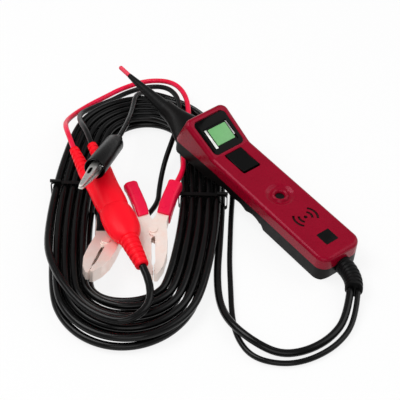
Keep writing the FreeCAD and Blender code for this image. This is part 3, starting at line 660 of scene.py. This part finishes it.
class TESTER_OT_display(bpy.types.Operator):
    """Model the display's black frame, bright side strips silvered as a painted reflection, and window"""
    bl_idname = "tester.display"
    bl_label = "Display"

    def execute(self, context):
        onto_face = tester_matrix(FACE_TILT, FACE_FOOT_Y, FACE_FOOT_Z)
        plate = slab("display_frame", halves=(14.0, 14.8), span=(1.4, 31.2), levels=(-1.2, 0.35),
                     corner=3.4, edge=0.25)
        carve(plate, slab("display_opening", halves=(11.2, 11.2), span=(5.6, 23.6), levels=(-0.5, 2.0),
                          corner=0.8, edge=0.1))
        window = slab("display_window", halves=(8.3, 8.3), span=(7.6, 22.0), levels=(-0.48, -0.1),
                      corner=0.6, edge=0.15)
        aside = Matrix.Translation((WINDOW_SHIFT * MM, 0, 0))
        # Painted reflection: the strips beside the window are silvered to stand in for reflections on its
        # flanks
        painted_reflection = plated("strip_painted_reflection", REFLECTION_SILVER, 0.24, REFLECTION_SILVER_DIM)
        fitted = [(plate, onto_face, jet_gloss("frame_gloss"), "display_black", "display_bezel"),
                  (window, onto_face @ aside, display_crystal(), "lcd", "display_lens")]
        for name, (side, place, half, span) in STRIPS.items():
            strip = slab(name, halves=(half, STRIP_TAPER * half), span=span, levels=(-0.3, 0.05),
                         corner=0.3, edge=0.12)
            lean = Matrix.Translation((place * MM, 0, STRIP_RISE * MM))
            lean = lean @ Matrix.Rotation(side * STRIP_TURN, 4, "Y")
            fitted.append((strip, onto_face @ lean, painted_reflection, "needle_steel"))
        for piece, matrix, material, slot, *nodes in fitted:
            settle(piece, matrix)
            smooth(piece, degrees=30.0)
            dress(piece, "tester", material, slot, *nodes)
        return {"FINISHED"}


# Jaws of the small clip: distance from the lead, near and far side from the bite, share of the width
JAW_FORM = ((34.0, 2.7, 4.6, 1.0), (43.0, 2.7, 4.6, 1.0), (46.5, 0.5, 4.6, 1.0), (58.0, 0.25, 4.6, 1.0),
            (62.0, 0.22, 4.3, 0.98), (70.0, 0.22, 3.5, 0.84), (80.0, 0.22, 2.5, 0.64),
            (86.0, 0.22, 1.9, 0.5), (87.6, 0.3, 1.7, 0.42), (88.0, 0.5, 1.45, 0.3))
JAW_SIDES, JAW_SQUARE = 40, 3.2
# Each jaw's side of the bite, half width, body and solid
JAWS = {"ground_jaw_top": (1, 3.1, "ground_jaw", "gator_upper_jaw"),
        "ground_jaw_low": (-1, 4.1, "tester", "gator_lower_jaw")}
# Notches between the teeth, and the hollow in each jaw's back, painted near black inside as shade:
# cutter's stations, then places
TEETH, FIRST_TOOTH, TOOTH_PITCH = 9, 64.2, 2.6
NOTCH = ((-6.0, 1.15, 0.95, 0.0), (6.0, 1.15, 0.95, 0.0))
JAW_EYE = ((0.0, 4.4, 1.25, 0.0), (6.0, 4.4, 1.25, 0.0))
EYE_AT, EYE_RISE, EYE_SIDES, EYE_SQUARE = 67.5, 1.5, 32, 2.6


class TESTER_OT_ground_jaws(bpy.types.Operator):
    """Model the two toothed jaws of the small ground clip"""
    bl_idname = "tester.ground_jaws"
    bl_label = "Ground Jaws"

    def execute(self, context):
        nickel = plated("nickel_plate", colours().nickel, 0.30, NICKEL_TARNISH, metal=0.9)
        # Painted shade: each jaw's hollow is coated near black
        hole_shade = moulded("jaw_hole_shade", HOLE_SHADE, rough=0.6, grain=900.0, grain_depth=0.05)
        ahead = BOOT_HEADING.normalized()
        side = UP.cross(ahead).normalized()
        up = ahead.cross(side)
        for name, (sign, wide, body, node) in JAWS.items():
            stations = [(x, (high - low) / 2, wide * share, sign * (high + low) / 2)
                        for x, low, high, share in JAW_FORM]
            form = coat(drawn(name, stations, JAW_SIDES, JAW_SQUARE), nickel)
            put(form, BOOT_AT, ahead, up)
            for tooth in range(TEETH):
                notch = coat(drawn("notch", NOTCH, 4), nickel)
                put(notch, Vector(BOOT_AT) + ahead * (FIRST_TOOTH + TOOTH_PITCH * tooth), side, ahead)
                carve(form, notch)
            eye = coat(drawn("jaw_eye", JAW_EYE, EYE_SIDES, EYE_SQUARE), hole_shade)
            put(eye, Vector(BOOT_AT) + ahead * EYE_AT + up * (sign * EYE_RISE), up * sign, ahead)
            carve(form, eye)
            smooth(form)
            dress(form, body, None, "jaw_nickel", node)
        return {"FINISHED"}


# Cord routes in millimetres, from exit to far end. The coil lies between the main lead's two stretches
MAIN_FRONT = [(-12.5, -150.3, 7.2), (-30, -165.5, 3.6), (-51, -172.5, 2.75), (-72, -171, 2.75),
              (-88, -162, 2.75), (-97, -146, 7.6), (-98, -122, 7.6), (-89, -100, 3.2), (-72, -77, 3.2),
              (-48.3, -51.9, 3.75)]
MAIN_REAR = [(-142.9, 28.4, 10.6), (-160, 2, 16), (-169, -31, 16), (-170, -60, 16), (-158, -87, 17.5),
             (-128, -81.6, 20.6), (-119, -53, 23)]
GROUND = [(-9, -154.2, 6.8), (-27, -171, 3.2), (-50, -179.5, 2.2), (-74, -178.5, 2.2),
          (-92, -170, 2.2), (-104, -152, 2.2), (-100, -131, 2.2), (-88, -112, 2.2), (-72, -92, 2.2),
          (-56, -72, 2.2), (-40.5, -54.5, 2.3), (-24, -36, 2.2), (-6.5, -17.5, 2.3), (17.5, 11.5, 2.2),
          (33.5, 42, 2.3), (40, 75, 2.2), (35, 101, 2.3), (23, 119, 5), (5, 116, 15), (-14, 95, 20),
          (-36, 73.5, 29.5), (-56, 57, 36), (-66, 49.9, 39.2)]
RED = [(-87.7, 69.85, 33.1), (-81, 86, 33.5), (-73, 102, 28), (-62, 118, 18), (-45, 130, 10.5),
       (-24, 138, 5), (-6, 141.3, 2.2), (9, 142, 2.2), (30, 135, 5), (40, 113, 12), (35, 89, 15.2),
       (19, 65, 15.2), (-2, 46, 15), (-18, 27, 15), (-32.4, 9.6, 20.6), (-46.65, 0.99, 21.93)]
BLACK = [(-74.35, 65.65, 33.1), (-68, 80, 33.5), (-62, 95, 29), (-54, 111, 20.5), (-43, 125.5, 12.5),
         (-23, 132.5, 5.5), (-6, 134.3, 2.2), (9, 135, 2.2), (25, 127.5, 5.5), (32.5, 109, 12),
         (27, 88, 15.2), (11, 67, 15.2), (-9, 51, 15), (-27, 39, 9), (-43, 25, 2.5), (-59.6, 5.8, 5.2),
         (-75.65, 1.01, 6.01)]

# Coil: oval turns that spiral in on the floor, climb, and spiral out on top
COIL_MIDDLE = Vector((-74.0, 12.0, 0.0))
COIL_TURN = math.radians(47.7)
COIL_LONG = Vector((math.cos(COIL_TURN), math.sin(COIL_TURN), 0.0))
COIL_WIDE = Vector((COIL_LONG.y, -COIL_LONG.x, 0.0))
COIL_HALF_LONG, COIL_HALF_WIDE, COIL_PITCH = 131.0, 62.0, 6.2
COIL_LOW, COIL_HIGH, COIL_QUARTERS = 3.75, 9.85, 38
CLIMB_FROM, CLIMB_QUARTERS = 18.0, 2.0
# Arcs that make up a turn, and the angles of their control points
END_RADIUS = 0.9 * COIL_HALF_WIDE
SIDE_RADIUS = (COIL_HALF_LONG ** 2 + COIL_HALF_WIDE ** 2 - 2 * COIL_HALF_LONG * END_RADIUS) / (
    2 * (COIL_HALF_WIDE - END_RADIUS))
SIDE_HALF_STEP, SIDE_FROM = 2.35, 80.6
SIDE_TURNS = (-7.05, -SIDE_HALF_STEP, SIDE_HALF_STEP, 7.05)
END_STEP, END_POINTS = 16.12, 10
# Free end of the bundle: the outermost turn's slack, what a millimetre of inset takes off it, and how far
# the turns hang out at depth 0, 1, 2 and so on of each layer, read a quarter turn ahead
SLACK, SLACK_LOSS, SAG_LEAD = 4.0, 0.15, 0.25
COIL_SAG = {"low": (8.0, 7.5, 3.6, 0.0, -1.8, -3.6), "high": (5.4, 5.0, 3.2, -0.6, -3.4, -4.4)}


def coil_sag(depth, layer):
    """How far a turn hangs out of the bundle at its free end, by its depth in the bundle."""
    table = COIL_SAG[layer]
    place = max(0.0, depth + SAG_LEAD)
    step = min(int(place), len(table) - 2)
    return table[step] + (table[step + 1] - table[step]) * (place - step)


def coil_point(degrees):
    """Control point where the turn's outward direction has gone through that angle from its start."""
    quarters = degrees / 90.0
    depth = min(quarters, COIL_QUARTERS - quarters) / 4
    inset = COIL_PITCH * depth
    climb = min(1.0, max(0.0, (quarters - CLIMB_FROM) / CLIMB_QUARTERS))
    angle = math.radians(degrees)
    along, across = math.sin(angle), math.cos(angle)
    out = COIL_WIDE * across + COIL_LONG * along
    if abs(math.degrees(math.asin(across))) > SIDE_FROM:
        centre = COIL_WIDE * -math.copysign(SIDE_RADIUS - COIL_HALF_WIDE, across)
        radius = (SIDE_RADIUS - inset) / math.cos(math.radians(SIDE_HALF_STEP))
    else:
        centre = COIL_LONG * math.copysign(COIL_HALF_LONG - END_RADIUS, along)
        radius = (END_RADIUS - inset) / math.cos(math.radians(END_STEP / 2))
    sag = coil_sag(depth, "low") * (1.0 - climb) + coil_sag(depth, "high") * climb
    slack = COIL_LONG * (-(SLACK - SLACK_LOSS * inset + sag) * max(0.0, -along))
    height = COIL_LOW + (COIL_HIGH - COIL_LOW) * climb
    return COIL_MIDDLE + centre + out * radius + slack + Vector((0, 0, height))


def coil_points():
    """Control points of all the turns: round one end, along one side, and so on to the last quarter."""
    half_turn = [90.0 + END_STEP * (i - (END_POINTS - 1) / 2) for i in range(END_POINTS)]
    half_turn += [180.0 + turn for turn in SIDE_TURNS]
    last = 90.0 * COIL_QUARTERS
    angles = [turn for turn in SIDE_TURNS if turn > 0]
    for half in range(COIL_QUARTERS // 2):
        angles += [180.0 * half + a for a in half_turn if 180.0 * half + a < last]
    return [coil_point(a) for a in angles]


def lay_cord(name, route, diameter, material, body, steps=8):
    """A round cord along one smooth curve whose control points are the route."""
    piece = tube(name, "NURBS", [Vector(place) * MM for place in route], diameter / 2, resolution=5)
    line = piece.data.splines[0]
    line.order_u = 3
    line.use_endpoint_u = True
    line.resolution_u = steps
    line.use_smooth = True
    piece.data.materials.append(material)
    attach(piece, body)
    return piece


class TESTER_OT_main_lead(bpy.types.Operator):
    """Lay the main lead from the strain relief through its coil to the connector"""
    bl_idname = "tester.main_lead"
    bl_label = "Main Lead"

    def execute(self, context):
        route = MAIN_FRONT + coil_points() + MAIN_REAR
        jacket = cord_rubber("main_lead_jacket", colours().rubber, rough=0.20)
        lead = lay_cord("main_lead", route, sizes().main_lead, jacket, "tester", steps=6)
        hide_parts("main_lead_front", "main_lead_coil", "main_lead_rear")
        return {"FINISHED"}


class TESTER_OT_ground_lead(bpy.types.Operator):
    """Lay the ground lead from the strain relief to the small clip"""
    bl_idname = "tester.ground_lead"
    bl_label = "Ground Lead"

    def execute(self, context):
        jacket = cord_rubber("ground_lead_jacket", colours().rubber, rough=0.22)
        lead = lay_cord("ground_lead", GROUND, sizes().aux_lead, jacket, "tester")
        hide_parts("aux_lead")
        return {"FINISHED"}


class TESTER_OT_battery_leads(bpy.types.Operator):
    """Lay the red and black leads from the connector to the battery clips"""
    bl_idname = "tester.battery_leads"
    bl_label = "Battery Leads"

    def execute(self, context):
        for colour, route, tint, slot, long in (("red", RED, colours().lead, "lead_red", 0.333),
                                                ("black", BLACK, colours().rubber, "cord_black", 0.329)):
            jacket = cord_rubber(colour + "_lead_jacket", tint, rough=0.34)
            lead = lay_cord(colour + "_battery_lead", route, sizes().battery_lead, jacket, "tester")
            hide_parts(colour + "_lead")
        return {"FINISHED"}


def solid_finishes():
    """The finishes of the solids that stay, each with the solids that have it."""
    c = colours()
    clips = [colour + "_clip_" + part for colour in CLIP_PIVOTS
             for part in ("arm_fixed", "arm_moving", "rivet", "spring")]
    return (
        (moulded("lower_shell_black", c.grip, rough=0.40, grain=1500.0, grain_depth=0.12, shine=0.12),
         ["lower_housing", "switch_body", "circuit_breaker", "probe_nose"]),
        (moulded("red_vinyl", c.vinyl, rough=0.38, grain=900.0, grain_depth=0.08, mottling=0.05,
                 lacquer=0.02, shine=0.12),
         ["connector_plug", "connector_socket"]),
        (plated("copper_plate", c.copper, 0.33, COPPER_TARNISH, metal=0.5), clips),
        (plated("probe_steel", STEEL, 0.22, STEEL_TARNISH),
         ["housing_screws", "rocker_pin", "probe_needle", "gator_pin"]),
        (plated("socket_brass", BRASS, 0.28, BRASS_TARNISH), ["probe_socket", "connector_pins"]),
        (moulded("relief_rubber", c.rubber, rough=0.46, grain=1200.0, grain_depth=0.2),
         ["buzzer", "probe_sheath", "strain_relief", "tie_left", "tie_right"]),
        (jet_gloss("display_gloss"), ["lcd_module"]),
        (moulded("board_green", BOARD_GREEN, rough=0.4, grain=900.0, grain_depth=0.1), ["circuit_board"]),
        (moulded("tip_pink_red", TIP_PINK, rough=0.32, grain=900.0, grain_depth=0.05), ["tip_cap"]),
    )


class TESTER_OT_finishes(bpy.types.Operator):
    """Give every solid that stays its own finish"""
    bl_idname = "tester.finishes"
    bl_label = "Finishes"

    def execute(self, context):
        for material, nodes in solid_finishes():
            for node in nodes:
                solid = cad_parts[node]
                if not solid.material_slots:
                    solid.data.materials.append(material)
                for place in solid.material_slots:
                    place.material = material
        return {"FINISHED"}


# Stage: what the camera and the lamps look at, the camera's stand, the floor and the light
AIM = Vector((-0.0274, -0.0043, 0.0))
VIEW_ELEVATION = math.radians(41.0)
VIEW_AHEAD = Vector((0.6361, 0.7716, 0.0))
SENSOR_WIDTH, LENS_LENGTH, CLIP_START = 36.0, 132.0, 0.01
FLOOR_SIZE, FLOOR_Z, FLOOR_GLOW = 6.0, -0.0003, 0.85
# Soft lamps: place, size and power
LAMPS = {"key_light": ((-0.5, 0.5, 1.2), 0.9, 11.0), "fill_light": ((0.9, -0.5, 0.9), 1.2, 6.0),
         "front_light": ((-0.8, -0.9, 0.9), 1.0, 5.0)}
WORLD_STRENGTH = 0.36


def point_at_aim(thing, place):
    thing.rotation_euler = (AIM - Vector(place)).to_track_quat("-Z", "Y").to_euler()


def soft_lamp(name, place, size, power):
    deselect()
    bpy.ops.object.light_add(type="AREA", location=place)
    lamp = bpy.context.object
    lamp.name = name
    lamp.data.size = size
    lamp.data.energy = power
    point_at_aim(lamp, place)


def floor_paper():
    """Pale paper that keeps shadows, and shows nearly white to the camera, in gloss and through glass."""
    bench = NodeBench("floor_paper")
    fibres = bench.noise(scale=400.0, detail=3.0)
    bench.feed(bench.blend(bench.spread(fibres, 0.0, 1.0), PAPER, PAPER_PALE), "Base Color")
    bench.set(Roughness=0.9)
    rays = bench.add("ShaderNodeLightPath")
    seen = rays.outputs["Is Camera Ray"]
    for kind in ("Is Glossy Ray", "Is Transmission Ray"):
        either = bench.add("ShaderNodeMath", operation="MAXIMUM")
        bench.join(seen, either.inputs[0])
        bench.join(rays.outputs[kind], either.inputs[1])
        seen = either.outputs[0]
    share = bench.add("ShaderNodeMath", operation="MULTIPLY")
    share.inputs[1].default_value = FLOOR_GLOW
    bench.join(seen, share.inputs[0])
    glow = bench.add("ShaderNodeEmission")
    mix = bench.add("ShaderNodeMixShader")
    for place, source in enumerate((share, bench.shader, glow)):
        bench.join(source.outputs[0], mix.inputs[place])
    bench.join(mix.outputs[0], bench.tree.nodes["Material Output"].inputs["Surface"])
    return bench.material


class TESTER_OT_stage(bpy.types.Operator):
    """Set out the floor, soft light and the camera"""
    bl_idname = "tester.stage"
    bl_label = "Stage"

    def execute(self, context):
        deselect()
        bpy.ops.mesh.primitive_plane_add(size=FLOOR_SIZE, location=(0, 0, FLOOR_Z))
        floor = context.object
        floor.name = "floor"
        floor.data.materials.append(floor_paper())
        for name, (place, size, power) in LAMPS.items():
            soft_lamp(name, place, size, power)
        world = context.scene.world or bpy.data.worlds.new("studio")
        context.scene.world = world
        world.use_nodes = True
        sky = world.node_tree.nodes["Background"]
        sky.inputs["Color"].default_value = WHITE
        sky.inputs["Strength"].default_value = WORLD_STRENGTH
        away = sizes().view_distance
        stand = (AIM - VIEW_AHEAD * (away * math.cos(VIEW_ELEVATION))
                 + Vector((0, 0, away * math.sin(VIEW_ELEVATION))))
        deselect()
        bpy.ops.object.camera_add(location=stand)
        camera = context.object
        point_at_aim(camera, stand)
        camera.data.sensor_width = SENSOR_WIDTH
        camera.data.lens = LENS_LENGTH
        camera.data.clip_start = CLIP_START
        context.scene.camera = camera
        context.scene.view_settings.view_transform = "Standard"
        return {"FINISHED"}


class TESTER_PT_panel(bpy.types.Panel):
    """Probe tester pieces and sizes"""
    bl_idname = "TESTER_PT_panel"
    bl_label = "Probe Tester"
    bl_space_type = "VIEW_3D"
    bl_region_type = "UI"
    bl_category = "Probe Tester"

    def draw(self, context):
        for piece in PIECES:
            self.layout.operator(piece.bl_idname)
        for group in (context.scene.tester_colours, context.scene.tester_sizes):
            for key in group.__annotations__:
                self.layout.prop(group, key)


PIECES = (TESTER_OT_upper_shell, TESTER_OT_indicator, TESTER_OT_rocker, TESTER_OT_square_plate,
          TESTER_OT_display, TESTER_OT_clip_sleeves, TESTER_OT_clip_boot, TESTER_OT_ground_jaws,
          TESTER_OT_main_lead, TESTER_OT_ground_lead, TESTER_OT_battery_leads, TESTER_OT_finishes,
          TESTER_OT_stage)
CLASSES = (TesterColours, TesterSizes) + PIECES + (TESTER_PT_panel,)


def register():
    for cls in CLASSES:
        bpy.utils.register_class(cls)
    bpy.types.Scene.tester_colours = PointerProperty(type=TesterColours)
    bpy.types.Scene.tester_sizes = PointerProperty(type=TesterSizes)


def unregister():
    del bpy.types.Scene.tester_sizes
    del bpy.types.Scene.tester_colours
    for cls in reversed(CLASSES):
        bpy.utils.unregister_class(cls)


def main():
    register()
    bpy.ops.tester.upper_shell()
    bpy.ops.tester.indicator()
    bpy.ops.tester.rocker()
    bpy.ops.tester.square_plate()
    bpy.ops.tester.display()
    bpy.ops.tester.clip_sleeves()
    bpy.ops.tester.clip_boot()
    bpy.ops.tester.ground_jaws()
    bpy.ops.tester.main_lead()
    bpy.ops.tester.ground_lead()
    bpy.ops.tester.battery_leads()
    bpy.ops.tester.finishes()
    bpy.ops.tester.stage()


if __name__ == "__main__":
    main()
